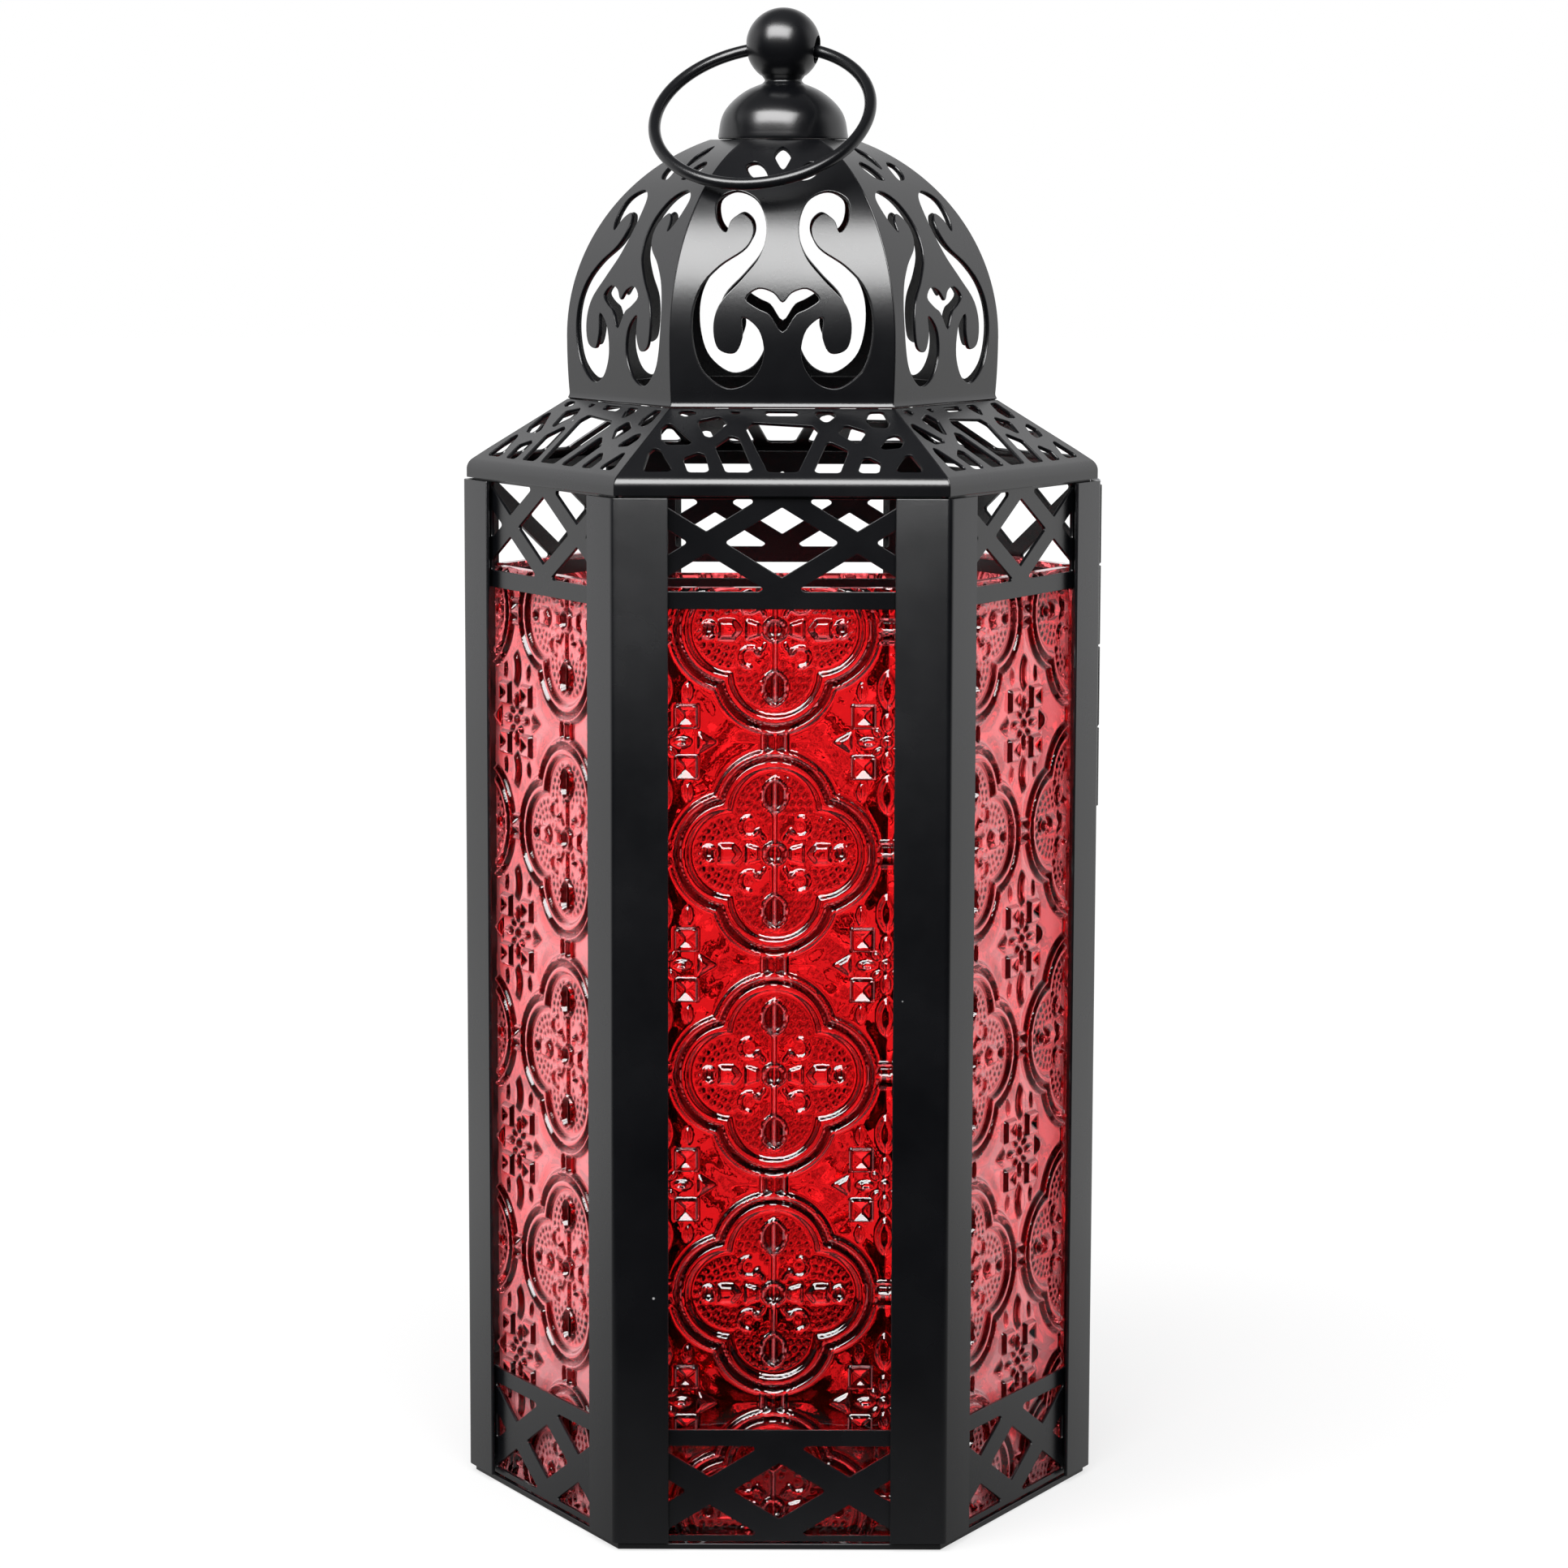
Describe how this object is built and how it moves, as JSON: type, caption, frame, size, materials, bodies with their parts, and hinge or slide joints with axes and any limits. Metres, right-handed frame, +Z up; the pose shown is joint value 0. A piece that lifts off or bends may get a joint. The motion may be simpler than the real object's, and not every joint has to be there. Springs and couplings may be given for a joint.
{
  "type": "hexagonal candle lantern",
  "caption": "Hexagonal sheet-metal candle lantern with red pressed-glass panes, pierced trellis bands, a hinged door, and a pierced dome with a ball finial and a ring handle.",
  "frame": {"origin": "centre of the underside of the base", "axes": "+Z up through the finial, -Y out of the front face, +X to the right, through the corner that carries the door hinge"},
  "size_m": [0.1144, 0.0996, 0.2657],
  "materials": {
    "black_metal": "satin black powder coat",
    "red_glass": "red pressed glass",
    "plated_steel": "plain plated"
  },
  "bodies": {
    "lantern": {"base_plate": "black_metal", "dome_collar": "black_metal", "dome_gore_back": "black_metal", "dome_gore_back_left": "black_metal", "dome_gore_back_right": "black_metal", "dome_gore_front": "black_metal", "dome_gore_front_left": "black_metal", "dome_gore_front_right": "black_metal", "finial_ball": "black_metal", "finial_neck": "black_metal", "finial_nut": "plated_steel", "finial_screw": "plated_steel", "hinge_pin": "plated_steel", "hinge_post_knuckle_lower": "black_metal", "hinge_post_knuckle_upper": "black_metal", "latch_peg": "black_metal", "lattice_lower_back": "black_metal", "lattice_lower_back_left": "black_metal", "lattice_lower_front": "black_metal", "lattice_lower_front_left": "black_metal", "lattice_lower_front_right": "black_metal", "lattice_upper_back": "black_metal", "lattice_upper_back_left": "black_metal", "lattice_upper_front": "black_metal", "lattice_upper_front_left": "black_metal", "lattice_upper_front_right": "black_metal", "pane_back": "red_glass", "pane_back_left": "red_glass", "pane_front": "red_glass", "pane_front_left": "red_glass", "pane_front_right": "red_glass", "pane_strap_back": "black_metal", "pane_strap_back_left": "black_metal", "pane_strap_front": "black_metal", "pane_strap_front_left": "black_metal", "pane_strap_front_right": "black_metal", "post_back_left": "black_metal", "post_back_right": "black_metal", "post_front_left": "black_metal", "post_front_right": "black_metal", "post_left": "black_metal", "post_right": "black_metal", "roof_panel_back": "black_metal", "roof_panel_back_left": "black_metal", "roof_panel_back_right": "black_metal", "roof_panel_front": "black_metal", "roof_panel_front_left": "black_metal", "roof_panel_front_right": "black_metal", "top_cap": "black_metal"},
    "door": {"door_frame": "black_metal", "pane_back_right": "red_glass", "pane_strap_back_right": "black_metal", "hinge_door_knuckle_upper": "black_metal", "hinge_door_knuckle_lower": "black_metal", "latch_rivet": "black_metal"},
    "latch": {"latch_hook": "black_metal"},
    "ring": {"ring_handle": "black_metal"}
  },
  "joints": [
    {"name": "ring_swing", "type": "hinge", "parent": "lantern", "child": "ring", "pos_m": [0, 0, 0.2584], "axis": [-0.9744, 0.225, 0], "range_deg": [0, 258]},
    {"name": "door_hinge", "type": "hinge", "parent": "lantern", "child": "door", "pos_m": [0.05631, 0.00445, 0.1527], "axis": [0, 0, -1], "range_deg": [0, 110]},
    {"name": "latch_turn", "type": "hinge", "parent": "door", "child": "latch", "pos_m": [0.03217, 0.04467, 0.1], "axis": [0.866, 0.5, 0], "range_deg": [0, 90]}
  ]
}
